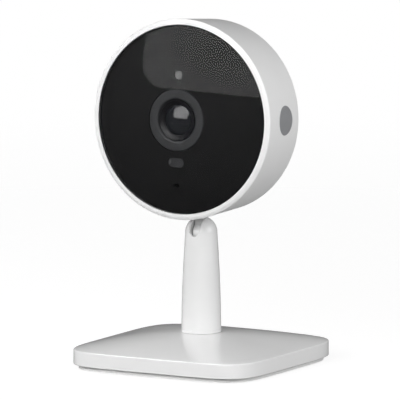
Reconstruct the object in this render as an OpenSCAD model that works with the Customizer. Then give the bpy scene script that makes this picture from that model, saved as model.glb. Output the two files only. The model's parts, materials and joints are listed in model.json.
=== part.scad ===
// Indoor security camera: a round head on a tilting hinge, a turning stem and a weighted square base.
// Millimetres. +Z is up, the camera looks along -Y, and the origin is the centre of the underside.
// Head pieces are drawn in the head's own axes: X to the side, Y back from the window's edge, Z up.

/* [Base] */
// Width of the square base across its sides
base_w = 64.6; // [52:0.1:80]
// Roundness of the base outline, where 2 is a circle and a high value is a square
base_power = 5.9; // [4:0.1:9]
// Height of the base's straight side
side_h = 4.7; // [4:0.1:8]
// Rise of the base's top from its edge to the stem
crown_h = 4; // [3.2:0.1:6]
// Height of the inset plate under the base, pad included
plinth_h = 1.6; // [1.3:0.1:2.6]
// Distance that the plate stands in from the base's side
plinth_inset = 1.3; // [0.8:0.1:3]
// Wall of the base cover
base_wall = 2.2; // [1.6:0.1:3]
// Thickness of the rubber pad
pad_t = 0.8; // [0.6:0.1:1.2]
// Height of the steel weight
weight_t = 2.1; // [1:0.1:2.4]

/* [Stem] */
// Radius of the stem at its foot
foot_r = 6.15; // [5.6:0.05:8]
// Radius of the stem's round top
top_r = 5.25; // [4.6:0.05:6]
// Height of the hinge pivot above the top of the base
stem_h = 31.1; // [26:0.1:45]
// Height of the collar at the foot
collar_h = 0.8; // [0.5:0.1:2]
// Radius of the turning spigot
spigot_r = 3.5; // [3:0.1:4]
// Depth that the spigot reaches into the stem
spigot_in = 9; // [7:0.5:12]

/* [Hinge] */
// Thickness of the hinge tongue
tongue_t = 2.8; // [2.2:0.1:3.4]
// Width of the tongue's arm from front to back
arm_w = 3.6; // [3:0.1:4.4]
// Radius of the tongue's round end
knuckle_r = 2.8; // [2.4:0.1:3.2]
// Radius of the hinge pin
pin_r = 1; // [0.8:0.05:1.2]
// Thickness of a friction washer
washer_t = 0.26; // [0.2:0.01:0.4]
// Depth of the slot's floor below the pivot, at the stem's surface
slot_floor = 0.95; // [0.7:0.05:1.5]

/* [Head] */
// Radius of the head at its front edge
head_r = 31.1; // [27:0.1:38]
// Radius of the head at its back edge
back_r = 29.7; // [26:0.1:36.5]
// Depth of the head's side wall
shell_d = 21.5; // [20.5:0.1:26]
// Wall of the head's shell
shell_wall = 1.8; // [1.4:0.1:2.2]
// Width of the white rim around the window
rim_w = 1.8; // [1.4:0.1:3]
// Distance that the rim falls back from the window to its outer edge
rim_back = 0.7; // [0.3:0.1:1.5]
// Upward tilt of the head at rest, degrees
face_tilt = 3.2; // [0:0.1:6]
// Depth of the hinge pivot behind the window's edge
pivot_depth = 14.7; // [12:0.1:17]
// Gap from the pivot to the underside of the head
pivot_gap = 5.75; // [5.6:0.05:7.5]

/* [Window] */
// Height of the window's dome
bulge = 4.6; // [2.5:0.1:5.5]
// Thickness of the window
window_t = 1; // [0.8:0.1:2]
// Thickness of the adhesive ring
tape_t = 0.45; // [0.3:0.05:0.8]
// Width of the ledge that the window is bonded to
ledge_w = 2.9; // [2.2:0.1:3.5]
// Radius of the microphone hole
mic_hole_r = 0.65; // [0.4:0.05:0.9]
// Distance of the microphone hole below the lens
mic_drop = 20.3; // [18:0.1:21.5]
// Distance of the night light above the lens
night_rise = 13.9; // [13:0.1:17]
// Radius of the night light
night_r = 1.35; // [1:0.05:2]
// Distance of the oval sensor window below the lens
sensor_drop = 13.1; // [12.4:0.1:15]
// Width of the oval sensor window
sensor_w = 5.5; // [4.5:0.1:7]
// Height of the oval sensor window
sensor_h = 2.8; // [2.2:0.1:3.4]

/* [Lens] */
// Outer radius of the lens ring
ring_r = 9.6; // [9:0.1:10.6]
// Radius of the lens ring's inner opening
bowl_r = 6.8; // [6.4:0.1:7.4]
// Radius of the lens barrel
barrel_r = 6.2; // [5.6:0.1:6.5]
// Radius of the front lens
lens_r = 4.7; // [3.8:0.1:5.2]

/* [Back] */
// Height of the rear cover's dome
rear_dome = 2.4; // [1.8:0.1:3.5]
// Wall of the rear cover
rear_wall = 1.5; // [1.2:0.1:2]
// Width of the power recess
recess_w = 13; // [12:0.5:15]
// Height of the power recess
recess_h = 9; // [8:0.5:10]
// Depth of the power recess below the rear surface
recess_d = 4.8; // [4.6:0.1:5.2]
// Distance of the power recess below the head's centre
recess_drop = 14.5; // [13:0.1:15]
// Radius of the reset button
button_r = 1.6; // [1.2:0.1:2]
// Travel of the reset button
button_travel = 0.6; // [0.4:0.1:0.8]
// Radius of the speaker
speaker_r = 8; // [7:0.1:9]
// Distance of the speaker above the head's centre
speaker_rise = 8.5; // [7.5:0.1:9.5]
// Radius of one hole in the speaker grille
grille_hole_r = 0.55; // [0.4:0.05:0.7]

/* [Badge] */
// Radius of the plain round badge
badge_r = 4.6; // [3.5:0.1:5.5]
// Distance of the badge's centre behind the window's edge
badge_depth = 11.8; // [9:0.1:14]
// Height of the badge's centre above the head's centre
badge_rise = 1; // [0:0.1:2]
// Height that the badge stands out of the wall
badge_proud = 0.12; // [0.05:0.01:0.3]

/* [Clearance] */
// Radial clearance of a turning pin or spigot
run_gap = 0.05; // [0.02:0.01:0.1]
// Gap between two parts that only sit side by side
fit_gap = 0.1; // [0.05:0.01:0.2]

/* [Hidden] */
$fn = 96;
eps = 0.01;

white = "#f2f2f0";
grey = "#9a9b9d";
black = "#1b1c1f";
steel = "#b9bcc0";
board_green = "#1f4d3a";
brass = "#c9a44c";

// ---------- base ----------
base_half = base_w / 2;
edge_z = plinth_h + side_h;
seat_z = edge_z + crown_h;
seat_scale = 0.21;
edge_round = 0.45;
plate_gap = 0.25;
roof_t = 1.6;
cavity_half = base_half - base_wall;
cavity_top = edge_z - roof_t;
hub_r = 12;
hub_top = seat_z - 2.2;
boss_at = cavity_half - 7.5;
boss_r = 2.8;
screw_r = 0.85;
screw_head_r = 1.8;
screw_head_t = 0.8;
drive_r = 0.6;
pad_drop = 0.4;
pad_margin = 2.2;
plate_lip = 0.6;
plate_top = plinth_h + plate_lip;
pad_half = base_half - plinth_inset - pad_margin;

// ---------- swivel ----------
bush_r = spigot_r + 1.1;
bush_flange_r = spigot_r + 2.5;
bush_flange_t = 0.6;
flange_z = hub_top - bush_flange_t;
wave_t = 0.4;
wave_z = flange_z - wave_t - run_gap;
retainer_t = 0.7;
retainer_z = wave_z - retainer_t - run_gap;
swivel_screw_r = 1.2;
swivel_head_r = 2.6;
swivel_head_t = 1.2;

// ---------- stem ----------
collar_z = seat_z + fit_gap;
tube_z = collar_z + collar_h;
pivot_z = seat_z + stem_h;
core_r = 3;
core_top = pivot_z - 8;
slot_w = tongue_t + 2 * (washer_t + 2 * 0.02);
pocket_r = knuckle_r + 0.8;
plug_depth = 0.95;
pin_end_wall = 1.5;
pin_start = -top_r + plug_depth;
pin_end = top_r - pin_end_wall;

// ---------- head ----------
glass_r = head_r - rim_w;
wall_slope = (head_r - back_r) / (shell_d - rim_back);
function wall_r(depth) = head_r - wall_slope * (depth - rim_back);
pivot_drop = wall_r(pivot_depth) + pivot_gap;
window_r = glass_r - fit_gap;
dome_r = (window_r * window_r + bulge * bulge) / (2 * bulge);
dome_at = dome_r - bulge;
function dome_depth(sphere_r, r) = dome_at - sqrt(sphere_r * sphere_r - r * r);
window_back = dome_depth(dome_r - window_t, window_r);
ledge_at = window_back + tape_t;
ledge_t = 1.5;
ledge_r = glass_r - ledge_w;
tape_w = ledge_w - 0.6;
mask_gap = 0.1;
mask_t = 1.2;
mask_r = ledge_r - 0.25;
mask_front = dome_r - window_t - mask_gap;
edge_fillet = 1.2;

// depths of the boards and what lies between them
front_board_at = 4.4;
front_board_t = 0.9;
sensor_board_at = 11.4;
spreader_at = 12.9;
spreader_t = 1;
main_board_at = 15.1;
main_board_t = 1.1;
chip_t = main_board_at - spreader_at - spreader_t - 0.1;
rear_of_board = main_board_at + main_board_t;
inner_r = wall_r(shell_d) - shell_wall;
frame_r = inner_r - 1;
frame_in_r = frame_r - 2.2;
frame_at = front_board_at + front_board_t + 0.05;
frame_end = rear_of_board + 0.5;
board_r = frame_in_r - 0.6;
spacer_r = 2;
post_r = spacer_r + 0.3;
post_at = (frame_in_r - spacer_r - fit_gap) * sqrt(0.5);
board_screw_r = 1;
screw_play = 0.15;
screw_bite = 0.04;

// ---------- lens and what shows through the window ----------
ring_front = dome_depth(mask_front, ring_r) + fit_gap;
ring_skirt = 3.2;
barrel_front = ring_front + 0.3;
barrel_clear = 0.15;
rear_lens_r = lens_r - 1.25;
lens_t = 1.2;
front_lens_rise = 1.3;
filter_at = sensor_board_at - 2.4;
filter_w = 9.2;
holder_at = front_board_at + front_board_t + 0.4;
holder_half = 7;
light_clear = 0.15;
boot_wall = 0.9;

// ---------- neck ----------
foot_plate_t = 1.6;
foot_plate_half = 4.4;
foot_plate_len = 5.3;
foot_plate_z = -(inner_r - 0.8);
neck_screw_at = 3.9;
neck_screw_r = 0.8;
neck_head_r = 1.35;
neck_room = 2 * foot_plate_half + 2;

// ---------- back ----------
rear_edge_r = inner_r - fit_gap;
rear_sphere_r = (rear_edge_r * rear_edge_r + rear_dome * rear_dome) / (2 * rear_dome);
rear_edge_at = shell_d + 0.4;
rear_at = rear_edge_at + rear_dome - rear_sphere_r;
function rear_depth(r) = rear_at + sqrt(rear_sphere_r * rear_sphere_r - r * r);
skirt_at = frame_end + 0.4;
skirt_t = 1.2;
recess_floor = rear_depth(recess_drop) - recess_d;
recess_wall = 1.1;
socket_w = 7.5;
socket_h = 2.8;
socket_wall = 0.35;
button_x = recess_w / 2 + recess_wall + button_r + 2.2;
button_flange_r = button_r + 0.7;
button_hole_gap = 0.15;
button_face = rear_depth(norm([button_x, recess_drop])) + 0.75;
button_flange_at = button_face - 0.75 - rear_wall - 1.4;
speaker_at = rear_of_board + 1.7;
gasket_t = 0.5;
speaker_t = rear_depth(speaker_rise + speaker_r) - rear_wall - gasket_t - speaker_at - 0.3;

// ---------- shared shapes ----------
function squircle(half, steps = 72) = [
    for (i = [0 : steps - 1])
        let (c = cos(360 * i / steps), s = sin(360 * i / steps))
        [half * sign(c) * pow(abs(c), 2 / base_power), half * sign(s) * pow(abs(s), 2 / base_power)]
];

module slab(half, z, t) {
    translate([0, 0, z]) linear_extrude(t) polygon(squircle(half));
}

module rod(r, z0, z1) {
    translate([0, 0, z0]) cylinder(r = r, h = z1 - z0);
}

module ring(r_out, r_in, z0, z1) {
    difference() {
        rod(r_out, z0, z1);
        rod(r_in, z0 - 1, z1 + 1);
    }
}

// Places children at the four corners of a square
module corners(at) {
    for (x = [-at, at], y = [-at, at]) translate([x, y, 0]) children();
}

// Turns a shape drawn along Z so that it runs back into the head
module into_head(x = 0, z = 0) {
    translate([x, 0, z]) rotate([-90, 0, 0]) children();
}

// Puts head pieces at the pivot, tilted as the head stands at rest
module on_hinge() {
    translate([0, 0, pivot_z])
        rotate([-face_tilt, 0, 0])
            translate([0, -pivot_depth, pivot_drop])
                children();
}

// A ball whose surface follows the window's dome
module dome_ball(r) {
    translate([0, dome_at, 0]) sphere(r = r, $fn = 180);
}

module rear_ball(r) {
    translate([0, rear_at, 0]) sphere(r = r, $fn = 180);
}

// Flat-sided oval, drawn along Z
module oval(w, h, z0, z1) {
    for (side = [-1, 1]) translate([side * (w - h) / 2, 0, 0]) rod(h / 2, z0, z1);
    translate([-(w - h) / 2, -h / 2, z0]) cube([w - h, h, z1 - z0]);
}

// A box centred on x and z that runs from one depth to another
module block(x, z, w, h, d0, d1) {
    translate([x - w / 2, d0, z - h / 2]) cube([w, d1 - d0, h]);
}

module posts() {
    for (x = [-post_at, post_at], z = [-post_at, post_at]) into_head(x, z) children();
}

// ---------- base pieces ----------
module base_outline() {
    hull() {
        slab(base_half - edge_round, plinth_h, eps);
        slab(base_half, plinth_h + edge_round, eps);
        slab(base_half, edge_z - edge_round, eps);
        slab(base_half - 0.15 * edge_round, edge_z - 0.4 * edge_round, eps);
        for (s = [0.975, 0.9, 0.8, 0.7, 0.6, 0.5, 0.4, 0.3, seat_scale])
            slab(base_half * s, edge_z + crown_h * (1 - s * s) / (1 - seat_scale * seat_scale) - eps, eps);
    }
}

module base_cover() {
    color(white) difference() {
        base_outline();
        difference() {
            union() {
                slab(cavity_half, plinth_h - 1, cavity_top - plinth_h + 1);
                rod(hub_r, plinth_h - 1, hub_top);
            }
            corners(boss_at) rod(boss_r, plate_top, cavity_top + 1);
        }
        rod(bush_r, hub_top - 1, seat_z + 1);
        corners(boss_at) rod(screw_r + screw_bite, plate_top - 1, cavity_top - 0.4);
    }
}

module base_weight() {
    color(steel) difference() {
        slab(cavity_half - 0.3, cavity_top - weight_t - 0.1, weight_t);
        rod(hub_r - 1, 0, seat_z);
        corners(boss_at) rod(boss_r + 0.3, 0, edge_z);
    }
}

module base_plate() {
    color(grey) difference() {
        union() {
            slab(base_half - plinth_inset, pad_drop, plinth_h - plate_gap - pad_drop);
            slab(cavity_half - fit_gap, pad_drop, plate_top - pad_drop);
        }
        slab(pad_half + fit_gap, -1, pad_t + 1);
        corners(boss_at) {
            rod(screw_r + screw_play, 0, plate_top + 1);
            rod(screw_head_r + 0.1, 0, pad_t + screw_head_t);
        }
    }
}

module base_pad() {
    color(black) slab(pad_half, 0, pad_t);
}

module base_screws() {
    color(steel) corners(boss_at) {
        rod(screw_r, pad_t + 0.1, cavity_top - 0.6);
        difference() {
            rod(screw_head_r, pad_t + 0.05, pad_t + screw_head_t);
            rod(drive_r, 0, pad_t + 0.45, $fn = 6);
        }
    }
}

// ---------- swivel pieces ----------
module swivel_bush() {
    color(white) difference() {
        union() {
            rod(bush_r, flange_z, seat_z);
            rod(bush_flange_r, flange_z, hub_top);
        }
        rod(spigot_r + run_gap, 0, seat_z + 1);
    }
}

module wave_washer() {
    color(steel) ring(bush_flange_r - 0.4, spigot_r + 0.2, wave_z, wave_z + wave_t);
}

module retaining_washer() {
    color(steel) ring(bush_flange_r, swivel_screw_r + 0.1, retainer_z, retainer_z + retainer_t);
}

module swivel_spigot() {
    color(steel) difference() {
        rod(spigot_r, retainer_z + retainer_t, seat_z + spigot_in);
        rod(swivel_screw_r, 0, seat_z + spigot_in - 3);
    }
}

module swivel_screw() {
    color(steel) difference() {
        union() {
            rod(swivel_head_r, retainer_z - swivel_head_t, retainer_z);
            rod(swivel_screw_r, retainer_z - eps, seat_z + spigot_in - 4);
        }
        rod(1.1, 0, retainer_z - swivel_head_t + 0.8, $fn = 6);
    }
}

module stem_collar() {
    color(white) ring(foot_r + 0.03, spigot_r + 0.02, collar_z, collar_z + collar_h - 0.04);
}

// ---------- stem pieces ----------
function stem_r(t) = foot_r - (foot_r - top_r) * pow(t, 1.7);

module stem_outline() {
    steps = 16;
    rotate_extrude()
        polygon(concat(
            [[0, tube_z]],
            [for (i = [0 : steps]) [stem_r(i / steps), tube_z + (pivot_z - tube_z) * i / steps]],
            [[0, pivot_z]]
        ));
    translate([0, 0, pivot_z]) sphere(r = top_r);
}

// The slot seen from the front is a straight channel with a round floor
module hinge_slot() {
    round_z = pivot_z - slot_floor + slot_w / 2;
    translate([0, -top_r * 2, round_z]) rotate([-90, 0, 0]) cylinder(r = slot_w / 2, h = top_r * 4);
    translate([-slot_w / 2, -top_r * 2, round_z]) cube([slot_w, top_r * 4, top_r * 3]);
    translate([-slot_w / 2, 0, pivot_z]) rotate([0, 90, 0]) cylinder(r = pocket_r, h = slot_w);
}

module pin_hole(from, to, r) {
    translate([from, 0, pivot_z]) rotate([0, 90, 0]) cylinder(r = r, h = to - from);
}

module stem_tube() {
    color(white) difference() {
        stem_outline();
        rod(spigot_r + 0.01, 0, seat_z + spigot_in + 0.05);
        rod(core_r, 0, core_top);
        hinge_slot();
        pin_hole(-top_r * 2, pin_end + 0.1, pin_r + 0.01);
    }
}

module hinge_pin() {
    color(steel) pin_hole(pin_start, pin_end, pin_r);
}

module pin_plug() {
    color(white) intersection() {
        pin_hole(-top_r * 2, pin_start - 0.05, pin_r - 0.02);
        stem_outline();
    }
}

module friction_washers() {
    color(steel) for (side = [-1, 1])
        translate([side * (tongue_t / 2 + washer_t / 2 + 0.02), 0, pivot_z])
            rotate([0, 90, 0])
                difference() {
                    cylinder(r = knuckle_r - 0.3, h = washer_t, center = true);
                    cylinder(r = pin_r + 0.1, h = 1, center = true);
                }
}

// ---------- neck pieces ----------
module neck_plan(gap = 0) {
    top_z = foot_plate_z + foot_plate_t / 2;
    block(0, (top_z - pivot_drop) / 2, tongue_t + 2 * gap, top_z + pivot_drop,
        pivot_depth - arm_w / 2 - gap, pivot_depth + arm_w / 2 + gap);
}

module neck_tongue() {
    color(white) on_hinge() difference() {
        union() {
            neck_plan();
            translate([-tongue_t / 2, pivot_depth, -pivot_drop])
                rotate([0, 90, 0]) cylinder(r = knuckle_r, h = tongue_t);
            block(0, foot_plate_z + foot_plate_t / 2, 2 * foot_plate_half, foot_plate_t,
                pivot_depth - foot_plate_len, pivot_depth + foot_plate_len);
        }
        translate([-tongue_t, pivot_depth, -pivot_drop])
            rotate([0, 90, 0]) cylinder(r = pin_r + run_gap, h = 2 * tongue_t);
        for (side = [-1, 1]) translate([0, pivot_depth + side * neck_screw_at, 0])
            rod(neck_screw_r + screw_play, foot_plate_z - 1, foot_plate_z + foot_plate_t + 1);
    }
}

module neck_screws() {
    color(steel) on_hinge() for (side = [-1, 1])
        translate([0, pivot_depth + side * neck_screw_at, 0]) {
            rod(neck_screw_r, foot_plate_z - 1.6, foot_plate_z + foot_plate_t + 0.2);
            difference() {
                rod(neck_head_r, foot_plate_z + foot_plate_t, foot_plate_z + foot_plate_t + 0.9);
                rod(0.5, foot_plate_z + foot_plate_t + 0.4, foot_plate_z + 4, $fn = 6);
            }
        }
}

// ---------- head casing ----------
// Half section of the shell: first number is the radius, second the depth
module shell_section(out = 0) {
    polygon([
        [glass_r, 0],
        [glass_r + 0.25 * rim_w, 0.06 * rim_back],
        [glass_r + 0.6 * rim_w, 0.3 * rim_back],
        [glass_r + 0.85 * rim_w, 0.62 * rim_back],
        [head_r + out, rim_back + 0.1],
        [wall_r(shell_d - edge_fillet) + out, shell_d - edge_fillet],
        [wall_r(shell_d) - 0.3 * edge_fillet, shell_d - 0.25 * edge_fillet],
        [wall_r(shell_d) - 0.9 * edge_fillet, shell_d],
        [inner_r, shell_d],
        [inner_r, ledge_at + ledge_t],
        [ledge_r, ledge_at + ledge_t],
        [ledge_r, ledge_at],
        [glass_r, ledge_at]
    ]);
}

module badge_plug(r, out, deep) {
    intersection() {
        rotate([-90, 0, 0]) rotate_extrude() polygon([
            [wall_r(2) + out, 2],
            [wall_r(19) + out, 19],
            [wall_r(19) - deep, 19],
            [wall_r(2) - deep, 2]
        ]);
        translate([0, badge_depth, badge_rise]) rotate([0, 90, 0]) cylinder(r = r, h = 2 * head_r);
    }
}

module head_shell() {
    color(white) on_hinge() difference() {
        union() {
            rotate([-90, 0, 0]) rotate_extrude($fn = 180) shell_section();
            intersection() {
                block(0, foot_plate_z - 1.05, 2 * foot_plate_half + 0.4, 2,
                    pivot_depth - foot_plate_len - 0.5, pivot_depth + foot_plate_len + 0.3);
                into_head() rod(wall_r(shell_d) - 0.6, 0, shell_d);
            }
        }
        neck_plan(fit_gap);
        badge_plug(badge_r + 0.05, 1, 0.55);
        for (side = [-1, 1]) translate([0, pivot_depth + side * neck_screw_at, 0])
            rod(neck_screw_r + screw_bite, foot_plate_z - 1.8, foot_plate_z + 1);
    }
}

module badge() {
    color(grey) on_hinge() badge_plug(badge_r, badge_proud, 0.5);
}

module grille_holes() {
    hole_step = 2.1;
    for (row = [0 : 3]) {
        count = max(1, 6 * row);
        for (i = [0 : count - 1])
            translate([row * hole_step * cos(360 * i / count), 0,
                speaker_rise + row * hole_step * sin(360 * i / count)])
                into_head() rod(grille_hole_r, shell_d - 3, shell_d + 6, $fn = 24);
    }
}

module rear_cover() {
    color(white) on_hinge() difference() {
        union() {
            difference() {
                intersection() {
                    rear_ball(rear_sphere_r);
                    into_head() rod(rear_edge_r, shell_d - 1.4, shell_d + 6);
                }
                intersection() {
                    rear_ball(rear_sphere_r - rear_wall);
                    into_head() rod(rear_edge_r - skirt_t, skirt_at - 1, shell_d + 6);
                }
            }
            into_head() ring(rear_edge_r, rear_edge_r - skirt_t, skirt_at, shell_d);
            intersection() {
                rear_ball(rear_sphere_r - 0.2);
                block(0, -recess_drop, recess_w + 2 * recess_wall, recess_h + 2 * recess_wall,
                    recess_floor - recess_wall, shell_d + 6);
            }
        }
        block(0, -recess_drop, recess_w, recess_h, recess_floor, shell_d + 8);
        block(0, -recess_drop, socket_w + 2 * fit_gap, socket_h + 2 * fit_gap,
            recess_floor - 3, recess_floor + 1);
        into_head(button_x, -recess_drop) rod(button_r + button_hole_gap, shell_d - 3, shell_d + 6);
        grille_holes();
        block(0, foot_plate_z, neck_room, 6, skirt_at - 1, skirt_at + 3.8);
    }
}

// ---------- window and what shows through it ----------
module front_window() {
    color(black) on_hinge() difference() {
        intersection() {
            dome_ball(dome_r);
            into_head() rod(window_r, -bulge - 1, ledge_at);
        }
        dome_ball(dome_r - window_t);
        into_head(0, -mic_drop) rod(mic_hole_r, -bulge - 1, ledge_at);
    }
}

module window_tape() {
    inner = ledge_r + 0.2;
    outer = inner + tape_w;
    color(grey) on_hinge() rotate([-90, 0, 0]) rotate_extrude() polygon([
        [inner, dome_depth(dome_r - window_t, inner) + 0.03],
        [outer, dome_depth(dome_r - window_t, outer) + 0.03],
        [outer, ledge_at - 0.02],
        [inner, ledge_at - 0.02]
    ]);
}

module front_mask() {
    color(black) on_hinge() difference() {
        intersection() {
            dome_ball(mask_front);
            into_head() rod(mask_r, -bulge, front_board_at);
        }
        dome_ball(mask_front - mask_t);
        into_head() rod(ring_r + fit_gap, -bulge - 1, 8);
        into_head(0, night_rise) rod(night_r + light_clear, -bulge - 1, 8);
        into_head(0, -sensor_drop) oval(sensor_w + 0.2, sensor_h + 0.2, -bulge - 1, 8);
        into_head(0, -mic_drop) rod(mic_hole_r + boot_wall + 0.2, -bulge - 1, 8);
    }
}

module lens_ring() {
    color("#3c3d40") on_hinge() rotate([-90, 0, 0]) rotate_extrude() polygon([
        [ring_r, ring_front + 0.2],
        [ring_r, ring_front + ring_skirt],
        [bowl_r, ring_front + ring_skirt + 2],
        [barrel_r + barrel_clear, ring_front + ring_skirt + 2],
        [barrel_r + barrel_clear, ring_front + 0.5],
        [bowl_r, ring_front + 0.1],
        [bowl_r + 0.3, ring_front],
        [ring_r - 0.2, ring_front]
    ]);
}

module lens_barrel() {
    color(black) on_hinge() rotate([-90, 0, 0]) rotate_extrude() polygon([
        [lens_r + 0.02, barrel_front],
        [barrel_r - 0.3, barrel_front],
        [barrel_r, barrel_front + 0.5],
        [barrel_r, filter_at - 0.6],
        [rear_lens_r + 0.05, filter_at - 0.6],
        [rear_lens_r + 0.05, barrel_front + 3.4],
        [lens_r + 0.02, barrel_front + 2.8]
    ]);
}

// A lens with a bulged front and a flat back, drawn by cutting a ball
module plano_lens(r, rise, edge, depth) {
    ball = (r * r + rise * rise) / (2 * rise);
    on_hinge() intersection() {
        into_head() rod(r, depth - rise - 1, depth + edge);
        translate([0, depth - rise + ball, 0]) sphere(r = ball);
    }
}

module front_lens() {
    color(black, 0.6) plano_lens(lens_r, front_lens_rise, lens_t, barrel_front + 0.6);
}

module middle_lens() {
    color(black, 0.6) plano_lens(rear_lens_r, 0.6, lens_t - 0.2, barrel_front + 4.4);
}

module rear_lens() {
    color(black, 0.6) plano_lens(rear_lens_r, 0.5, lens_t - 0.2, filter_at - 2);
}

module lens_holder() {
    color(black) on_hinge() difference() {
        union() {
            block(0, 0, 2 * holder_half, 2 * holder_half, holder_at + 1.4, sensor_board_at - 0.02);
            into_head() rod(barrel_r + 1.2, holder_at, holder_at + 2);
        }
        into_head() rod(barrel_r + 0.04, 0, filter_at - 0.4);
        block(0, 0, filter_w + 0.2, filter_w + 0.2, filter_at - 0.5, sensor_board_at + 1);
    }
}

module ir_filter() {
    color("#7fa6c9", 0.6) on_hinge() block(0, 0, filter_w, filter_w, filter_at, filter_at + 0.4);
}

module image_sensor() {
    color("#2c3038") on_hinge() block(0, 0, 8, 7, sensor_board_at - 1, sensor_board_at - 0.02);
}

module sensor_board() {
    color(board_green) on_hinge() block(0, 0, 20, 20, sensor_board_at, sensor_board_at + 0.9);
}

module front_board() {
    color(board_green) on_hinge() difference() {
        into_head() rod(board_r, front_board_at, front_board_at + front_board_t);
        into_head() rod(ring_r + 0.6, 0, 10);
    }
}

module night_light() {
    light_front = dome_depth(mask_front, night_rise + night_r) + 0.02;
    color("#e8e6de") on_hinge() into_head(0, night_rise)
        rod(night_r, light_front, front_board_at - 0.02);
}

module sensor_window() {
    color("#56585c") on_hinge() into_head(0, -sensor_drop)
        oval(sensor_w, sensor_h, dome_depth(mask_front, sensor_drop + sensor_h / 2) + 0.02, 2.6);
}

module light_sensor() {
    color("#c9c2b0") on_hinge() block(-1.4, -sensor_drop, 1.7, 1.7, 3, front_board_at - 0.02);
}

module status_light() {
    color("#d7e6d2") on_hinge() block(1.4, -sensor_drop, 1.6, 0.8, 3.2, front_board_at - 0.02);
}

module microphone() {
    color(brass) on_hinge() block(0, -mic_drop, 3.6, 2.8, front_board_at - 1.1, front_board_at - 0.02);
}

module microphone_boot() {
    boot_r = mic_hole_r + boot_wall;
    boot_front = dome_depth(dome_r - window_t, mic_drop + boot_r) + fit_gap;
    color(black) on_hinge() into_head(0, -mic_drop)
        ring(boot_r, mic_hole_r, boot_front, front_board_at - 1.15);
}

// ---------- inside the head ----------
module inner_frame() {
    color(grey) on_hinge() difference() {
        union() {
            into_head() ring(frame_r, frame_in_r, frame_at, frame_end);
            posts() rod(post_r, frame_at, spreader_at - 0.05);
        }
        posts() rod(board_screw_r + screw_bite, frame_at + 2, frame_end);
        block(0, foot_plate_z, neck_room, 7, 0, frame_end + 1);
        block(0, inner_r, 27, 9, frame_at + 2, frame_end + 1);
    }
}

module heat_spreader() {
    color(steel) on_hinge() difference() {
        into_head() rod(board_r, spreader_at, spreader_at + spreader_t);
        posts() rod(board_screw_r + screw_play, 0, frame_end);
        block(0, foot_plate_z, neck_room, 8, 0, frame_end);
    }
}

module board_spacers() {
    color(brass) on_hinge() posts()
        ring(spacer_r, board_screw_r + fit_gap, spreader_at + spreader_t + 0.02, main_board_at - 0.02);
}

module main_board() {
    color(board_green) on_hinge() difference() {
        into_head() rod(board_r, main_board_at, rear_of_board);
        posts() rod(board_screw_r + screw_play, 0, frame_end);
        block(0, foot_plate_z, neck_room, 8, 0, frame_end);
    }
}

module board_screws() {
    color(steel) on_hinge() posts() {
        rod(board_screw_r, frame_at + 3, rear_of_board + 0.2);
        difference() {
            rod(screw_head_r, rear_of_board + 0.02, rear_of_board + 1);
            rod(drive_r, rear_of_board + 0.5, rear_of_board + 2, $fn = 6);
        }
    }
}

module processor() {
    color(black) on_hinge() block(-3, 7, 12, 12, main_board_at - chip_t, main_board_at - 0.02);
}

module memory_chip() {
    color(black) on_hinge() block(9.5, 5, 8, 9, main_board_at - chip_t, main_board_at - 0.02);
}

module shield_can() {
    color(steel) on_hinge() difference() {
        block(0, speaker_rise, 24, 14, rear_of_board + 0.02, rear_of_board + 1.5);
        block(0, speaker_rise, 23.4, 13.4, rear_of_board - 1, rear_of_board + 1.2);
    }
}

module wifi_antenna() {
    color(brass) on_hinge() block(0, board_r + 0.6, 24, 0.4, frame_at + 2.6, frame_at + 9);
}

module speaker() {
    color(black) on_hinge() into_head(0, speaker_rise) difference() {
        rod(speaker_r, speaker_at, speaker_at + speaker_t);
        translate([0, 0, speaker_at + speaker_t + 8]) sphere(r = 9.4);
    }
}

module speaker_gasket() {
    color(grey) on_hinge() into_head(0, speaker_rise)
        ring(speaker_r, speaker_r - 1, speaker_at + speaker_t + 0.02, speaker_at + speaker_t + gasket_t);
}

module power_socket() {
    color(steel) on_hinge() difference() {
        block(0, -recess_drop, socket_w, socket_h, rear_of_board + 0.02, recess_floor + 0.2);
        block(0, -recess_drop, socket_w - 2 * socket_wall, socket_h - 2 * socket_wall,
            rear_of_board + 0.6, recess_floor + 2);
    }
}

module reset_switch() {
    color(steel) on_hinge() {
        block(button_x, -recess_drop, 4, 4, rear_of_board + 0.02, button_flange_at - button_travel - 0.9);
        into_head(button_x, -recess_drop)
            rod(0.9, rear_of_board + 0.5, button_flange_at - button_travel - 0.1);
    }
}

module reset_button() {
    color(grey) on_hinge() into_head(button_x, -recess_drop) {
        rod(button_r, button_flange_at, button_face);
        rod(button_flange_r, button_flange_at, button_flange_at + 0.7);
    }
}

base_cover();
base_weight();
base_plate();
base_pad();
base_screws();
swivel_bush();
wave_washer();
stem_tube();
stem_collar();
swivel_spigot();
retaining_washer();
swivel_screw();
hinge_pin();
pin_plug();
friction_washers();
neck_tongue();
neck_screws();
head_shell();
rear_cover();
front_window();
window_tape();
front_mask();
lens_ring();
lens_barrel();
front_lens();
middle_lens();
rear_lens();
lens_holder();
ir_filter();
image_sensor();
sensor_board();
front_board();
night_light();
sensor_window();
light_sensor();
status_light();
microphone();
microphone_boot();
inner_frame();
heat_spreader();
board_spacers();
main_board();
processor();
memory_chip();
shield_can();
wifi_antenna();
speaker();
speaker_gasket();
power_socket();
reset_switch();
reset_button();
board_screws();
badge();
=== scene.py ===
# %% [markdown]
# # Finishing an indoor security camera
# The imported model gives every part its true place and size. This lesson adds what makes it look
# real: smooth moulded casings with softened edges, a dark domed window with the lens behind it,
# and honest plastics, metals and glass. Each step says what the piece is on the real object, how
# it could be made, and why it is made this way here.

# %% Load the frame
import math

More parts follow.
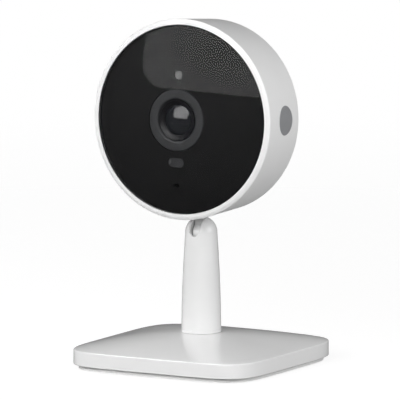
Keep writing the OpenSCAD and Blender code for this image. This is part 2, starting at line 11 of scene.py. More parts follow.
import bmesh
import bpy
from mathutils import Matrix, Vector, interpolate
from mathutils.bvhtree import BVHTree
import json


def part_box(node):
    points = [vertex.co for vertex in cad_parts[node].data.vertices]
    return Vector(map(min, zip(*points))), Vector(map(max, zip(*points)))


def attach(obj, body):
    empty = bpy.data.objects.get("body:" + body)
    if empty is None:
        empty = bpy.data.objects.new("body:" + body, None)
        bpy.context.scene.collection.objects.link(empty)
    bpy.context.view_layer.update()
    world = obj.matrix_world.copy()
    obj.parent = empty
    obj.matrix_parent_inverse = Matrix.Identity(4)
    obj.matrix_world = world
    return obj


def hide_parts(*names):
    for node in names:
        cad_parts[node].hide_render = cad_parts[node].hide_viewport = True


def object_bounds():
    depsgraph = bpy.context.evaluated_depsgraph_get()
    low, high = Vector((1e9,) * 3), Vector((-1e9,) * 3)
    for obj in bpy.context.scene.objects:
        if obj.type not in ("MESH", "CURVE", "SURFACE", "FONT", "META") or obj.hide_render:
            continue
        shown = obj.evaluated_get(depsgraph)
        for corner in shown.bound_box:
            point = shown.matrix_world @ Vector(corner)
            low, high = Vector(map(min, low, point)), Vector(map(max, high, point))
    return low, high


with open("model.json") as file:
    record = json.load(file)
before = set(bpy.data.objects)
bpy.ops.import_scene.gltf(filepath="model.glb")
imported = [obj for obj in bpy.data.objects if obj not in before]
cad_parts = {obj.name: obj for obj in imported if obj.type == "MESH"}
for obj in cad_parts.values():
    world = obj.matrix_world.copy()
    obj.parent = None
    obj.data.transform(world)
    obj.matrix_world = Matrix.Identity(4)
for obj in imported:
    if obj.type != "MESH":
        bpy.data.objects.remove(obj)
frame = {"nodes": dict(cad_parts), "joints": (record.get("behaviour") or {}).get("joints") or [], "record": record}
cad_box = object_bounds()
joints = {j["name"]: j for j in frame["joints"]}
MM = 0.001
print("model box in mm:", [[round(v / MM, 1) for v in corner] for corner in cad_box])

# %% [markdown]
# ## The head's own axes
# The head stands tilted, so its round parts are easiest to describe in the head's own axes: to the
# side, back into the head, and up. The reset button slides straight out of the back, so its joint
# gives the direction into the head, and the tilt hinge gives the side.

# %% Head axes
SIDE = Vector(joints["head_tilt"]["axis"]).normalized()
INTO = -Vector(joints["reset_press"]["axis"]).normalized()
UP = SIDE.cross(INTO).normalized()
PIVOT = Vector(joints["head_tilt"]["pos_m"])


def span(node, direction):
    """The lowest and highest place of a node's points along a direction."""
    places = [v.co.dot(direction) for v in frame["nodes"][node].data.vertices]
    return min(places), max(places)


def half_span(node, direction):
    """Half of a node's size along a direction: the radius of a round part."""
    start, end = span(node, direction)
    return (end - start) / 2


head_up = sum(span("front_window", UP)) / 2
front_edge, back_edge = span("head_shell", INTO)
HEAD = INTO * front_edge + UP * head_up


def head_point(x, depth, z):
    """A point given in the head's axes, in the frame's axes."""
    return HEAD + SIDE * x + INTO * depth + UP * z


def head_place(node):
    """The middle of a node in the head's axes: side, depth, up."""
    return (
        sum(span(node, SIDE)) / 2,
        sum(span(node, INTO)) / 2 - front_edge,
        sum(span(node, UP)) / 2 - head_up,
    )


print("the head leans back by", round(math.degrees(math.asin(-INTO.z)), 2), "degrees")

# %% [markdown]
# ## Mesh helpers
# Most of this object is turned or lofted, so nearly every piece is a stack of rings joined by
# quads. One function joins rings, one turns a profile about an axis, and one puts a finished mesh
# on its body. Small corner radii are drawn into each profile, because a moulded edge is never
# perfectly sharp and the thin highlight along it is what makes plastic look real.


# %% Rings, profiles and pieces
AXIS = 0.00001  # the radius at which a turned profile counts as being on its axis


def skin(rings, loop=False):
    """Points and quads for rings of equal length; loop joins the last ring to the first."""
    count = len(rings[0])
    faces = []
    for r in range(len(rings) if loop else len(rings) - 1):
        here, there = r * count, (r + 1) % len(rings) * count
        for i in range(count):
            j = (i + 1) % count
            faces.append((here + i, here + j, there + j, there + i))
    return [p for ring in rings for p in ring], faces


def turned(profile, place, turns=160, loop=True):
    """A profile of (radius, depth) turned about the axis that place() maps to the frame."""
    rings = [
        [
            place(r * math.cos(2 * math.pi * i / turns), d, r * math.sin(2 * math.pi * i / turns))
            for i in range(turns)
        ]
        for r, d in profile
    ]
    return skin(rings, loop)


def rounded(points, radii, steps=5):
    """A closed outline with each corner replaced by an arc of its own radius."""
    out = []
    for k, corner in enumerate(points):
        here = Vector(corner)
        before = Vector(points[k - 1]) - here
        after = Vector(points[(k + 1) % len(points)]) - here
        if radii[k] == 0:
            out.append(tuple(here))
            continue
        half = before.angle(after) / 2
        reach = min(radii[k] / math.tan(half), 0.49 * before.length, 0.49 * after.length)
        start, end = here + before.normalized() * reach, here + after.normalized() * reach
        for s in range(steps + 1):
            t = s / steps
            out.append(tuple(start * (1 - t) ** 2 + here * 2 * t * (1 - t) + end * t**2))
    return out


def mesh_object(name, points, faces):
    """A new object whose faces all point outwards and shade smoothly."""
    mesh = bpy.data.meshes.new(name)
    mesh.from_pydata([tuple(p) for p in points], [], faces)
    made = bmesh.new()
    made.from_mesh(mesh)
    bmesh.ops.remove_doubles(made, verts=made.verts, dist=1e-7)
    bmesh.ops.recalc_face_normals(made, faces=made.faces)
    made.to_mesh(mesh)
    made.free()
    mesh.shade_smooth()
    obj = bpy.data.objects.new(name, mesh)
    bpy.context.scene.collection.objects.link(obj)
    return obj


def finished(obj, body, slot, *nodes):
    """Puts a piece on its body and gives it its slot's finish."""
    obj.data.materials.clear()
    obj.data.materials.append(finishes[slot])
    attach(obj, body)
    if nodes:
        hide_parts(*nodes)
    print(obj.name, "has", len(obj.data.polygons), "faces")
    return obj


def baked(obj):
    """Replaces an object's mesh by the result of its modifiers."""
    mesh = bpy.data.meshes.new_from_object(
        obj.evaluated_get(bpy.context.evaluated_depsgraph_get())
    )
    obj.modifiers.clear()
    obj.data = mesh
    return obj


def cut(obj, cutters):
    """Cuts shapes out of an object. The kept surface keeps its smooth normals."""
    whole = obj.data.copy()
    tree = BVHTree.FromPolygons(
        [v.co for v in whole.vertices], [p.vertices[:] for p in whole.polygons]
    )
    for cutter in cutters:
        step = obj.modifiers.new("cut", "BOOLEAN")
        step.operation = "DIFFERENCE"
        step.solver = "EXACT"
        step.object = cutter
    baked(obj)
    for cutter in cutters:
        bpy.data.objects.remove(cutter)
    normals = []
    for face in obj.data.polygons:
        for v in face.vertices:
            where, _, index, _ = tree.find_nearest(obj.data.vertices[v].co)
            corners = whole.polygons[index].vertices
            weights = interpolate.poly_3d_calc([whole.vertices[c].co for c in corners], where)
            smooth = Vector()
            for c, w in zip(corners, weights):
                smooth += whole.vertices[c].normal * w
            smooth.normalize()
            normals.append(smooth if smooth.dot(face.normal) > 0.9 else face.normal)
    obj.data.shade_smooth()
    obj.data.normals_split_custom_set([tuple(n) for n in normals])
    return obj


def prism(outline, low, high, place):
    """A closed block: an outline of (side, up) drawn from one depth to another."""
    count = len(outline)
    points = [place(x, d, z) for d in (low, high) for x, z in outline]
    faces = [tuple(range(count)), tuple(range(2 * count - 1, count - 1, -1))]
    faces += [(i, (i + 1) % count, count + (i + 1) % count, count + i) for i in range(count)]
    return mesh_object("cutter", points, faces)


def circle(x, z, r, steps=48):
    turn = 2 * math.pi / steps
    return [(x + r * math.cos(i * turn), z + r * math.sin(i * turn)) for i in range(steps)]


# %% [markdown]
# ## The camera
# A long lens a good way off keeps the square base square and the round head round, as in a
# catalogue view. It stands to the right of straight ahead and slightly above the object.

# %% Camera
VIEW_AZIMUTH, VIEW_ELEVATION = math.radians(29.5), math.radians(8.65)
VIEW_WIDTH = 0.12346
VIEW_DISTANCE = 5.0
SENSOR_WIDTH = 36
AIM_X, AIM_Y, AIM_SHARE = -0.00035, -0.0002, 0.471  # the last is a share of the height


def direction(azimuth, elevation):
    """The direction to a place seen from the object: azimuth from the front towards +X."""
    flat = math.cos(elevation)
    return Vector((math.sin(azimuth) * flat, -math.cos(azimuth) * flat, math.sin(elevation)))


def facing(spot, target):
    """The rotation that points an object's -Z at a target with +Y up."""
    return (target - spot).to_track_quat("-Z", "Y").to_euler()


target = Vector((AIM_X, AIM_Y, AIM_SHARE * cad_box[1][2]))
camera = bpy.data.objects.new("camera", bpy.data.cameras.new("camera"))
camera.data.sensor_width = SENSOR_WIDTH
camera.data.lens = SENSOR_WIDTH * VIEW_DISTANCE / VIEW_WIDTH
camera.data.clip_start, camera.data.clip_end = 0.05, 20
camera.location = target + direction(VIEW_AZIMUTH, VIEW_ELEVATION) * VIEW_DISTANCE
camera.rotation_euler = facing(camera.location, target)
bpy.context.scene.collection.objects.link(camera)
bpy.context.scene.camera = camera
bpy.context.scene.view_settings.view_transform = "Standard"
print("lens", round(camera.data.lens), "mm at", VIEW_DISTANCE, "m")

# %% [markdown]
# ## Colour and node helpers
# Colours are picked as they look on a screen, in sRGB hex, and turned to the linear values that
# the renderer adds up. One small function adds a node, sets it and links it, so that a material
# reads as a list of what feeds what.


# %% Colours and nodes
def linear(hex_colour):
    """An sRGB hex colour as linear red, green, blue and alpha."""
    parts = [int(hex_colour[i : i + 2], 16) / 255 for i in (1, 3, 5)]
    return [p / 12.92 if p <= 0.04045 else ((p + 0.055) / 1.055) ** 2.4 for p in parts] + [1]


def add(tree, kind, settings=None, **inputs):
    """Adds a node. Settings are its properties; inputs are numbers, colours or sockets."""
    node = tree.nodes.new(kind)
    for key, value in (settings or {}).items():
        setattr(node, key, value)
    for key, value in inputs.items():
        which = int(key[1:]) if key[1:].isdigit() else key.replace("_", " ")
        socket = node.inputs[which]
        if isinstance(value, bpy.types.NodeSocket):
            tree.links.new(value, socket)
        else:
            socket.default_value = value
    return node


# %% [markdown]
# ## Light and floor
# The object stands in plain soft studio light. A wide, low softbox fills the front, and a card
# above it lengthens its mirror image in the dark window. A smaller light at each side keeps the
# walls from going grey, and a dim room fills the rest. The room looks white behind the object, as
# a paper backdrop does.


# %% Softbox, side lights, room and floor
def emitter(name, colour, strength):
    glow = bpy.data.materials.new(name)
    glow.use_nodes = True
    glow.node_tree.nodes.clear()
    lamp = add(glow.node_tree, "ShaderNodeEmission", Color=linear(colour), Strength=strength)
    add(glow.node_tree, "ShaderNodeOutputMaterial", Surface=lamp.outputs[0])
    return glow


LIGHT_AIM = Vector((0, 0, 0.07))
KEY_DISTANCE, KEY_STRENGTH = 0.9, 5.3
KEY_HALF_WIDTH, KEY_HALF_HEIGHT, KEY_CORNER = 0.675, 0.212, 0.2
KEY_AZIMUTH = math.radians(-8.6)
KEY_ELEVATION, CARD_ELEVATION = 22.5, 54.2
CARD_HALF_HEIGHT = 0.3
ROOM_FILL = 0.15
PAPER_GLOW = 0.86


def softbox(name, elevation, half_height, radii):
    """A glowing panel with its own corner radii, facing the object."""
    x, y = KEY_HALF_WIDTH, half_height
    outline = rounded([(-x, -y), (x, -y), (x, y), (-x, y)], radii, 12)
    panel = mesh_object(name, [(a, b, 0) for a, b in outline], [tuple(range(len(outline)))])
    panel.location = LIGHT_AIM + direction(KEY_AZIMUTH, math.radians(elevation)) * KEY_DISTANCE
    panel.rotation_euler = facing(panel.location, LIGHT_AIM)
    panel.data.materials.append(emitter(name + "_cloth", "#ffffff", KEY_STRENGTH))
    panel.visible_camera = False
    return panel


softbox("softbox", KEY_ELEVATION, KEY_HALF_HEIGHT, [KEY_CORNER, KEY_CORNER, 0, 0])
# The panel above it only shows in mirror images and adds no light to matt surfaces
card = softbox("reflector_card", CARD_ELEVATION, CARD_HALF_HEIGHT, [0, 0, KEY_CORNER, KEY_CORNER])
card.visible_diffuse = False


def side_light(name, azimuth, elevation, distance, size, radiance):
    """A square lamp whose brightness is given as radiance, so that size doesn't change it."""
    lamp = bpy.data.lights.new(name, "AREA")
    lamp.shape, lamp.size = "SQUARE", size
    lamp.energy = math.pi * size * size * radiance
    obj = bpy.data.objects.new(name, lamp)
    spot = LIGHT_AIM + direction(math.radians(azimuth), math.radians(elevation)) * distance
    obj.location, obj.rotation_euler = spot, facing(spot, LIGHT_AIM)
    obj.visible_camera = False
    bpy.context.scene.collection.objects.link(obj)


side_light("left_light", azimuth=-92, elevation=10, distance=0.8, size=0.5, radiance=1.3)
side_light("right_light", azimuth=92, elevation=13, distance=0.8, size=0.42, radiance=6.5)

room = bpy.data.worlds.new("room")
bpy.context.scene.world = room
room.use_nodes = True
room.node_tree.nodes.clear()
seen = add(room.node_tree, "ShaderNodeLightPath")
fill = add(room.node_tree, "ShaderNodeBackground", Color=linear("#ffffff"), Strength=ROOM_FILL)
paper = add(room.node_tree, "ShaderNodeBackground", Color=linear("#ffffff"), Strength=1.0)
either = add(
    room.node_tree,
    "ShaderNodeMixShader",
    _0=seen.outputs["Is Camera Ray"],
    _1=fill.outputs[0],
    _2=paper.outputs[0],
)
add(room.node_tree, "ShaderNodeOutputWorld", Surface=either.outputs[0])

FLOOR_RADIUS, FLOOR_SOLID = 0.6, 0.2
floor_profile = [(0.0001, 0), (0.1, 0), (0.3, 0), (FLOOR_RADIUS, 0)]
floor_points, floor_faces = turned(
    floor_profile, lambda x, d, z: Vector((x, z, -d)), turns=96, loop=False
)
floor = mesh_object("floor", floor_points, floor_faces)
paper_floor = bpy.data.materials.new("matt_paper")
paper_floor.use_nodes = True
nodes = paper_floor.node_tree
nodes.nodes.clear()
place = add(nodes, "ShaderNodeTexCoord")
away = add(nodes, "ShaderNodeVectorMath", {"operation": "LENGTH"}, _0=place.outputs["Object"])
fade = add(
    nodes,
    "ShaderNodeMapRange",
    {"interpolation_type": "SMOOTHSTEP"},
    Value=away.outputs["Value"],
    From_Min=FLOOR_SOLID,
    From_Max=FLOOR_RADIUS * 0.95,
)
matt = add(nodes, "ShaderNodeBsdfDiffuse", Color=linear("#868686"))
glow = add(nodes, "ShaderNodeEmission", Color=linear("#ffffff"), Strength=PAPER_GLOW)
lit = add(nodes, "ShaderNodeAddShader", _0=matt.outputs[0], _1=glow.outputs[0])
ray = add(nodes, "ShaderNodeLightPath")
sheet = add(
    nodes,
    "ShaderNodeMixShader",
    _0=ray.outputs["Is Camera Ray"],
    _1=matt.outputs[0],
    _2=lit.outputs[0],
)
clear = add(nodes, "ShaderNodeBsdfTransparent")
blend = add(
    nodes,
    "ShaderNodeMixShader",
    _0=fade.outputs["Result"],
    _1=sheet.outputs[0],
    _2=clear.outputs[0],
)
add(nodes, "ShaderNodeOutputMaterial", Surface=blend.outputs[0])
floor.data.materials.append(paper_floor)
print("the softbox stands", KEY_DISTANCE, "m off")

# %% [markdown]
# ## A shared recipe for solid finishes
# Every solid finish here needs the same three kinds of life: a faint drift in colour, a faint
# drift in gloss, and a surface relief at its real size. The recipe takes those in millimetres and
# leaves the rest to the shader's own settings, which each material sets for what it really is.


# %% The recipe
def finish(name, colours, roughness, relief_mm, relief_depth, drift_mm=6, swing=0.04, **shader):
    """A finish with colour drift between two hex colours, gloss drift, and relief in mm."""
    made = bpy.data.materials.new(name)
    made.use_nodes = True
    tree = made.node_tree
    tree.nodes.clear()
    place = add(tree, "ShaderNodeTexCoord").outputs["Object"]
    drift = add(
        tree,
        "ShaderNodeTexNoise",
        Vector=place,
        Scale=1 / (drift_mm * MM),
        Detail=3.0,
        Roughness=0.55,
    )
    tone = add(
        tree,
        "ShaderNodeMix",
        {"data_type": "RGBA"},
        _0=drift.outputs["Fac"],
        _6=linear(colours[0]),
        _7=linear(colours[1]),
    )
    gloss = add(
        tree,
        "ShaderNodeMapRange",
        Value=drift.outputs["Fac"],
        From_Min=0.3,
        From_Max=0.7,
        To_Min=max(0.01, roughness - swing),
        To_Max=roughness + swing,
    )
    grain = add(
        tree,
        "ShaderNodeTexNoise",
        Vector=place,
        Scale=1 / (relief_mm * MM),
        Detail=2.0,
        Roughness=0.5,
    )
    relief = add(
        tree,
        "ShaderNodeBump",
        Strength=1.0,
        Distance=relief_depth * MM,
        Height=grain.outputs["Fac"],
    )
    body = add(
        tree,
        "ShaderNodeBsdfPrincipled",
        Base_Color=tone.outputs["Result"],
        Roughness=gloss.outputs["Result"],
        Normal=relief.outputs["Normal"],
    )
    for key, value in shader.items():
        body.inputs[key.replace("_", " ")].default_value = value
    add(tree, "ShaderNodeOutputMaterial", Surface=body.outputs["BSDF"])
    return made


finishes = {}

# %% [markdown]
# ## Casing plastics
# The white casing is moulded polycarbonate and ABS blend. The base and stem are polished in the
# mould, so they mirror softly with a faint waviness a few millimetres long. The head is moulded
# against a finely textured tool, which scatters the highlight into a satin.

# %% Casing plastics
# Gloss PC/ABS: clear soft mirror on a white body, IOR 1.57
finishes["housing_gloss"] = finish(
    "gloss_pc_abs", ("#f0f0f0", "#f3f3f3"), 0.1, 3.2, 0.002, swing=0.02, IOR=1.57
)
# Satin PC/ABS: fine mould texture, drawn at 0.35 mm so that it can just be seen
finishes["housing_satin"] = finish(
    "satin_pc_abs",
    ("#efefef", "#f2f2f2"),
    0.4,
    0.35,
    0.006,
    swing=0.03,
    IOR=1.5,
    Specular_IOR_Level=0.35,
)
# The stem is the same gloss blend with its white painted a shade darker: painted shade that dims the stem's light
# and highlight
shaded_stem_gloss = finish(
    "gloss_pc_abs_stem", ("#e1e1e1", "#e4e4e4"), 0.16, 3.2, 0.002, swing=0.02, IOR=1.5
)
# The inset plate is plain moulded ABS, a touch greyer and rougher
finishes["plinth_plastic"] = finish(
    "plain_abs", ("#eaeae9", "#f0f0ef"), 0.45, 0.5, 0.01, IOR=1.54
)
# The small button is soft-touch moulded ABS
finishes["button_plastic"] = finish(
    "button_abs", ("#b9babb", "#c2c3c4"), 0.4, 0.3, 0.008, IOR=1.54
)
# The badge is a thin grey ABS disc with a fine spark-eroded texture
finishes["badge_grey"] = finish(
    "spark_eroded_abs", ("#8c8d8f", "#96979a"), 0.42, 0.25, 0.012, drift_mm=3, IOR=1.54
)
print(len(finishes), "casing finishes")

# %% [markdown]
# ## Window and what shows through it
# The window is tinted acrylic, polished on both faces. Real tinted sheet lets part of the light
# through and mirrors a few percent. A dark polished surface that is mostly see-through does both
# without tracing bent rays, so the lens behind stays crisp. The parts behind it are dark.


# %% Window, mask and lens finishes
CLOSES_FROM, CLOSED_AT = 0.4, 0.8  # slant at which a sheet starts to close and is closed
HAZE_MM = 9


def see_through(name, colour, alpha, roughness, ior):
    """A polished clear or tinted sheet: alpha is the share of light that a face stops.

    Seen at a slant, the light crosses more of the tint, so the sheet closes towards its edge.
    """
    made = bpy.data.materials.new(name)
    made.use_nodes = True
    tree = made.node_tree
    tree.nodes.clear()
    place = add(tree, "ShaderNodeTexCoord").outputs["Object"]
    haze = add(tree, "ShaderNodeTexNoise", Vector=place, Scale=1 / (HAZE_MM * MM), Detail=2.0)
    polish = add(
        tree,
        "ShaderNodeMapRange",
        Value=haze.outputs["Fac"],
        To_Min=roughness,
        To_Max=roughness + 0.02,
    )
    slant = add(tree, "ShaderNodeLayerWeight", Blend=0.5)
    closing = add(
        tree,
        "ShaderNodeMapRange",
        Value=slant.outputs["Facing"],
        From_Min=CLOSES_FROM,
        From_Max=CLOSED_AT,
        To_Min=alpha,
        To_Max=1.0,
    )
    body = add(
        tree,
        "ShaderNodeBsdfPrincipled",
        Base_Color=linear(colour),
        Roughness=polish.outputs["Result"],
        IOR=ior,
        Alpha=closing.outputs["Result"],
    )
    add(tree, "ShaderNodeOutputMaterial", Surface=body.outputs["BSDF"])
    return made


# Tinted cast acrylic, IOR 1.49
finishes["tinted_window"] = see_through("tinted_acrylic", "#050506", 0.09, 0.02, 1.49)
# Dense coated lens glass, IOR 1.6: dark inside, with a clear highlight
finishes["optical_glass"] = see_through("coated_lens_glass", "#2a2c30", 0.9, 0.03, 1.6)
# The infrared filter is a thin blue-tinted glass plate
finishes["filter_glass"] = see_through("blue_filter_glass", "#5a86a8", 0.5, 0.03, 1.52)
# Matt black polycarbonate mask: hides the board behind the window
finishes["mask_plastic"] = finish(
    "matt_black_pc", ("#131314", "#181819"), 0.8, 1.2, 0.002, IOR=1.58, Specular_IOR_Level=0.15
)
# Dark grey moulded ring around the lens
finishes["ring_plastic"] = finish(
    "dark_grey_pc", ("#343537", "#3b3c3e"), 0.5, 0.3, 0.004, IOR=1.58, Specular_IOR_Level=0.25
)
# Black anodised and matted lens barrel
finishes["barrel_black"] = finish(
    "matted_black_barrel",
    ("#1c1c1f", "#242427"),
    0.36,
    0.25,
    0.004,
    IOR=1.5,
    Specular_IOR_Level=0.3,
)
# Clear epoxy of the lights, milky from the inside
finishes["led_resin"] = finish(
    "milky_epoxy", ("#757575", "#828282"), 0.3, 0.8, 0.005, IOR=1.55
)
# Smoked polycarbonate over the oval sensors
finishes["smoked_window"] = finish(
    "smoked_pc", ("#333436", "#3c3d3f"), 0.25, 0.6, 0.004, IOR=1.58
)
print(len(finishes), "finishes so far")

# %% [markdown]
# ## Metals
# Metals take their colour from the mirror itself, so they are fully metallic and keep the usual
# IOR. What tells them apart is how they were made: rolled, plated, turned or anodised.

# %% Metals
# Zinc-plated cast steel weight, dull and slightly mottled
finishes["weight_steel"] = finish(
    "zinc_plated_weight", ("#9ea1a4", "#b4b6b8"), 0.42, 1.2, 0.02, swing=0.08, Metallic=1.0
)
# Plated screws, pins and washers
finishes["fastener_steel"] = finish(
    "nickel_plated_steel", ("#a9abad", "#bcbdbe"), 0.26, 0.4, 0.006, drift_mm=2, Metallic=1.0
)
# Clear anodised aluminium sheet of the heat spreader
finishes["spreader_aluminium"] = finish(
    "anodised_aluminium", ("#c3c5c7", "#cfd0d2"), 0.4, 0.2, 0.006, Metallic=1.0
)
# Tin-plated steel of the shield and the sockets
finishes["tinned_steel"] = finish(
    "tin_plated_steel", ("#b7b8b8", "#c9c9c7"), 0.3, 0.9, 0.008, Metallic=1.0
)
# Brass spacers and sprung contacts
finishes["contact_brass"] = finish(
    "turned_brass", ("#c6a255", "#d4b169"), 0.28, 0.3, 0.006, drift_mm=2, Metallic=1.0
)
print(len(finishes), "finishes so far")

# %% [markdown]
# ## Inside parts
# Nothing inside shows at rest, but the part is used opened up too, so each inner finish is set as
# carefully as the outer ones: resist-coated circuit board, moulded epoxy chips, bare silicon,
# acetal bushes, glass-filled frame plastic, foam tape and rubber.

# %% Inside finishes
# Acetal bush: waxy, self-lubricating white
finishes["acetal"] = finish("acetal", ("#e6e4dd", "#ece9e2"), 0.38, 0.8, 0.006, IOR=1.48)
# Closed-cell foam tape, with cells about 0.3 mm across
finishes["adhesive_foam"] = finish(
    "closed_cell_foam", ("#2b2b2d", "#3a3a3c"), 0.85, 0.3, 0.06, IOR=1.45
)
# Bare silicon die: dark and mirror-like
finishes["silicon"] = finish(
    "silicon_die", ("#2a2f3a", "#3b3f52"), 0.12, 0.5, 0.002, drift_mm=1.5, Metallic=1.0
)
# Green solder resist over woven glass, its weave about 0.6 mm
finishes["circuit_board"] = finish(
    "green_solder_resist", ("#17402f", "#225540"), 0.35, 0.6, 0.015, drift_mm=1.2, IOR=1.52
)
# Glass-filled nylon frame
finishes["frame_plastic"] = finish(
    "glass_filled_nylon", ("#8d8e90", "#9b9c9e"), 0.55, 0.4, 0.02, IOR=1.53
)
# Transfer-moulded epoxy of the chips
finishes["chip_epoxy"] = finish(
    "moulded_epoxy", ("#1a1a1b", "#232324"), 0.5, 0.15, 0.008, drift_mm=2, IOR=1.55
)
# Speaker basket and cone
finishes["speaker_black"] = finish(
    "pressed_paper_cone", ("#1c1c1d", "#29292a"), 0.6, 0.5, 0.03, IOR=1.5
)
# Silicone rubber pad with a fine matt grain
finishes["pad_rubber"] = finish(
    "silicone_rubber", ("#141415", "#1a1a1b"), 0.75, 0.35, 0.03, IOR=1.43
)
slots = {}
for row in frame["record"]["materials"]:
    for node in row.get("nodes", []):
        slots[node] = row["slot"]
for name, obj in frame["nodes"].items():
    slot = slots.get(name) or obj.data.materials[0].name
    obj.data.materials[0] = finishes[slot]
print("dressed", len(frame["nodes"]), "parts in", len(finishes), "finishes")

# %% [markdown]
# ## The base
# The base is one moulded cover: a rounded square that rises in a low crown to the stem. It could
# be cut from a block with modifiers, but a loft of rings follows the real shape better, because
# each ring can be a little rounder than the one below until the crown meets the round stem.

# %% Base cover
low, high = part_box("base_cover")
BASE_HALF = high.x
corner = max((abs(v.co.x) + abs(v.co.y)) / 2 for v in frame["nodes"]["base_cover"].data.vertices)
BASE_POWER = math.log(2) / math.log(BASE_HALF / corner)
BASE_SEAT = high.z
BASE_EDGE = low.z + 4.7 * MM
SEAT_SHARE = 0.21
SHOULDER_SHARE = 0.94
CROWN_RINGS = 40
COVER_WALL = 2.2 * MM
COVER_ROOF = 1.6 * MM
HUB_RADIUS, HUB_ROOF = 12 * MM, 2.2 * MM
BUSH_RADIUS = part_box("swivel_bush")[1].x - 1.4 * MM
print("base is", round(2 * BASE_HALF / MM, 1), "mm across, outline power", round(BASE_POWER, 2))


def base_ring(half, z, power, count=240):
    """One ring of the base: a circle at power 2, squarer as the power grows."""
    ring = []
    for i in range(count):
        a = 2 * math.pi * (i + 0.5) / count
        c, s = math.cos(a), math.sin(a)
        r = half * (abs(c) ** power + abs(s) ** power) ** (-1 / power)
        ring.append(Vector((r * c, r * s, z)))
    return ring


def crown(share):
    """Height of the crown at a share of the base's half width."""
    return BASE_EDGE + (BASE_SEAT - BASE_EDGE) * (1 - share**2) / (1 - SEAT_SHARE**2)


def crown_power(share):
    """The outline goes from the base's own shape at the edge to round at the stem."""
    t = max(0.0, (share - SEAT_SHARE) / (1 - SEAT_SHARE))
    return 2 + (BASE_POWER - 2) * t**1.5


EDGE_ROUND = 0.45 * MM
side_profile = rounded(
    [
        (BASE_HALF - COVER_WALL, low.z),
        (BASE_HALF, low.z),
        (BASE_HALF, BASE_EDGE),
        (BASE_HALF * SHOULDER_SHARE, crown(SHOULDER_SHARE)),
    ],
    [0, 0.35 * MM, EDGE_ROUND, 0],
    8,
)
rings = [base_ring(half, z, BASE_POWER) for half, z in side_profile]
for k in range(1, CROWN_RINGS + 1):
    share = SHOULDER_SHARE + (SEAT_SHARE - SHOULDER_SHARE) * k / CROWN_RINGS
    rings.append(base_ring(BASE_HALF * share, crown(share), crown_power(share)))
rings.append(base_ring(BUSH_RADIUS, BASE_SEAT, 2))
rings.append(base_ring(BUSH_RADIUS, BASE_SEAT - HUB_ROOF, 2))
rings.append(base_ring(HUB_RADIUS, BASE_SEAT - HUB_ROOF, 2))
rings.append(base_ring(HUB_RADIUS, BASE_EDGE - COVER_ROOF, 2))
rings.append(base_ring(BASE_HALF - COVER_WALL, BASE_EDGE - COVER_ROOF, BASE_POWER))
base_shell = mesh_object("base_cover_moulding", *skin(rings, loop=True))
base_shell.data.set_sharp_from_angle(angle=math.radians(50))
finished(base_shell, "base", "housing_gloss", "base_cover")

# %% [markdown]
# ## The stem
# The stem is a slim post, a little wider at the foot, with a round top. A slot with a round floor
# is milled into the mould for the tilting tongue, and its lips are softened. The post is turned
# from a profile, the slot is cut, and then the whole skin is rebuilt in small even cells so that
# the lips can be softened like moulded plastic.

# %% Stem
low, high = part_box("stem_tube")
FOOT_RADIUS, STEM_FOOT = high.x, low.z
TOP_RADIUS = high.z - PIVOT.z
SLOT_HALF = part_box("friction_washers")[1].x + 0.02 * MM
SLOT_FLOOR = PIVOT.z - 0.95 * MM
POCKET_RADIUS = 3.6 * MM
BORE_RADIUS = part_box("swivel_spigot")[1].x + 0.01 * MM
BORE_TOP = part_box("swivel_spigot")[1].z + 0.05 * MM
CELL = 0.13 * MM
STEM_RINGS, ARC_STEPS = 40, 24


def stem_radius(t):
    """Radius of the post at a share of the way from its foot to the hinge."""
    return FOOT_RADIUS - (FOOT_RADIUS - TOP_RADIUS) * t**1.7


def upright(x, d, z):
    """Places a profile about the vertical axis: its depth is the height."""
    return Vector((x, -z, d))


def crosswise(x, d, z):
    """Places a block drawn along the hinge pin."""
    return Vector((d, x, z))


profile = [(BORE_RADIUS, STEM_FOOT), (FOOT_RADIUS - 0.02 * MM, STEM_FOOT)]
for k in range(1, STEM_RINGS + 1):
    t = k / STEM_RINGS
    profile.append((stem_radius(t), STEM_FOOT + (PIVOT.z - STEM_FOOT) * t))
for k in range(1, ARC_STEPS):
    a = math.pi / 2 * k / ARC_STEPS
    profile.append((TOP_RADIUS * math.cos(a), PIVOT.z + TOP_RADIUS * math.sin(a)))
profile += [(AXIS, PIVOT.z + TOP_RADIUS), (AXIS, BORE_TOP), (BORE_RADIUS, BORE_TOP)]
stem = mesh_object("stem_moulding", *turned(profile, upright, 144))

reach = 2 * TOP_RADIUS
floor_centre = SLOT_FLOOR + SLOT_HALF
slot_outline = [(-SLOT_HALF, PIVOT.z + reach), (-SLOT_HALF, floor_centre)]
for k in range(1, ARC_STEPS):
    a = math.pi + math.pi * k / ARC_STEPS
    slot_outline.append((SLOT_HALF * math.cos(a), floor_centre + SLOT_HALF * math.sin(a)))
slot_outline += [(SLOT_HALF, floor_centre), (SLOT_HALF, PIVOT.z + reach)]
slot = prism(slot_outline, -reach, reach, lambda x, d, z: Vector((x, d, z)))
pocket = prism(circle(0, PIVOT.z, POCKET_RADIUS), -SLOT_HALF, SLOT_HALF, crosswise)
pin_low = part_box("pin_plug")[0].x - 2 * MM
pin_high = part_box("hinge_pin")[1].x + 0.1 * MM
pin_radius = (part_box("hinge_pin")[1].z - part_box("hinge_pin")[0].z) / 2 + 0.01 * MM
pin_hole = prism(circle(0, PIVOT.z, pin_radius), pin_low, pin_high, crosswise)
cut(stem, [slot, pocket, pin_hole])
cells = stem.modifiers.new("cells", "REMESH")
cells.mode, cells.voxel_size, cells.use_smooth_shade = "VOXEL", CELL, True
baked(stem)
lips = stem.vertex_groups.new(name="lips")
for v in stem.data.vertices:
    near_lip = 1 - min(1, abs(abs(v.co.x) - SLOT_HALF) / (0.9 * MM))
    outside = math.hypot(v.co.y, max(0, v.co.z - PIVOT.z), v.co.x) > 0.8 * TOP_RADIUS
    if v.co.z > SLOT_FLOOR - 1 * MM and near_lip > 0 and outside:
        lips.add([v.index], near_lip, "REPLACE")
even = stem.modifiers.new("even", "SMOOTH")
